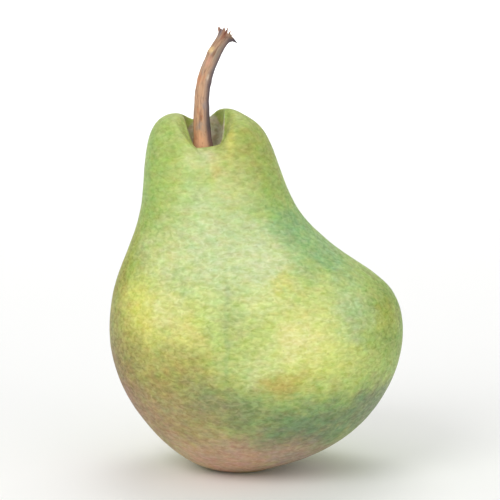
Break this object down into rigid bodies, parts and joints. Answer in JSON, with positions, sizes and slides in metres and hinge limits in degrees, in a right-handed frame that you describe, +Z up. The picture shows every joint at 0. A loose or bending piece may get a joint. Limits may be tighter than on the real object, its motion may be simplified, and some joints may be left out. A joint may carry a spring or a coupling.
{
  "type": "pear",
  "caption": "Ripe green dessert pear with a leaning neck, a low-lipped stem hollow, a bent woody stem and a dried eye, standing on a small flat spot.",
  "frame": {"origin": "on the surface that the pear stands on, under the middle of its bounding box", "axes": "+Z up the pear, its longest extent; +X towards the fuller cheek, with the neck leaning to -X; -Y towards the low front lip of the stem hollow"},
  "size_m": [0.0782, 0.0738, 0.1179],
  "materials": {
    "pear_skin": "thin waxy skin, satin, green blotched with yellow, blue-green and russet, finely speckled",
    "stem_wood": "dry woody stem, matt, finely ribbed along its length",
    "dried_calyx": "dried brown sepals, matt and wrinkled"
  },
  "bodies": {
    "root": {"fruit": "pear_skin", "stem": "stem_wood", "eye": "dried_calyx"}
  },
  "joints": []
}
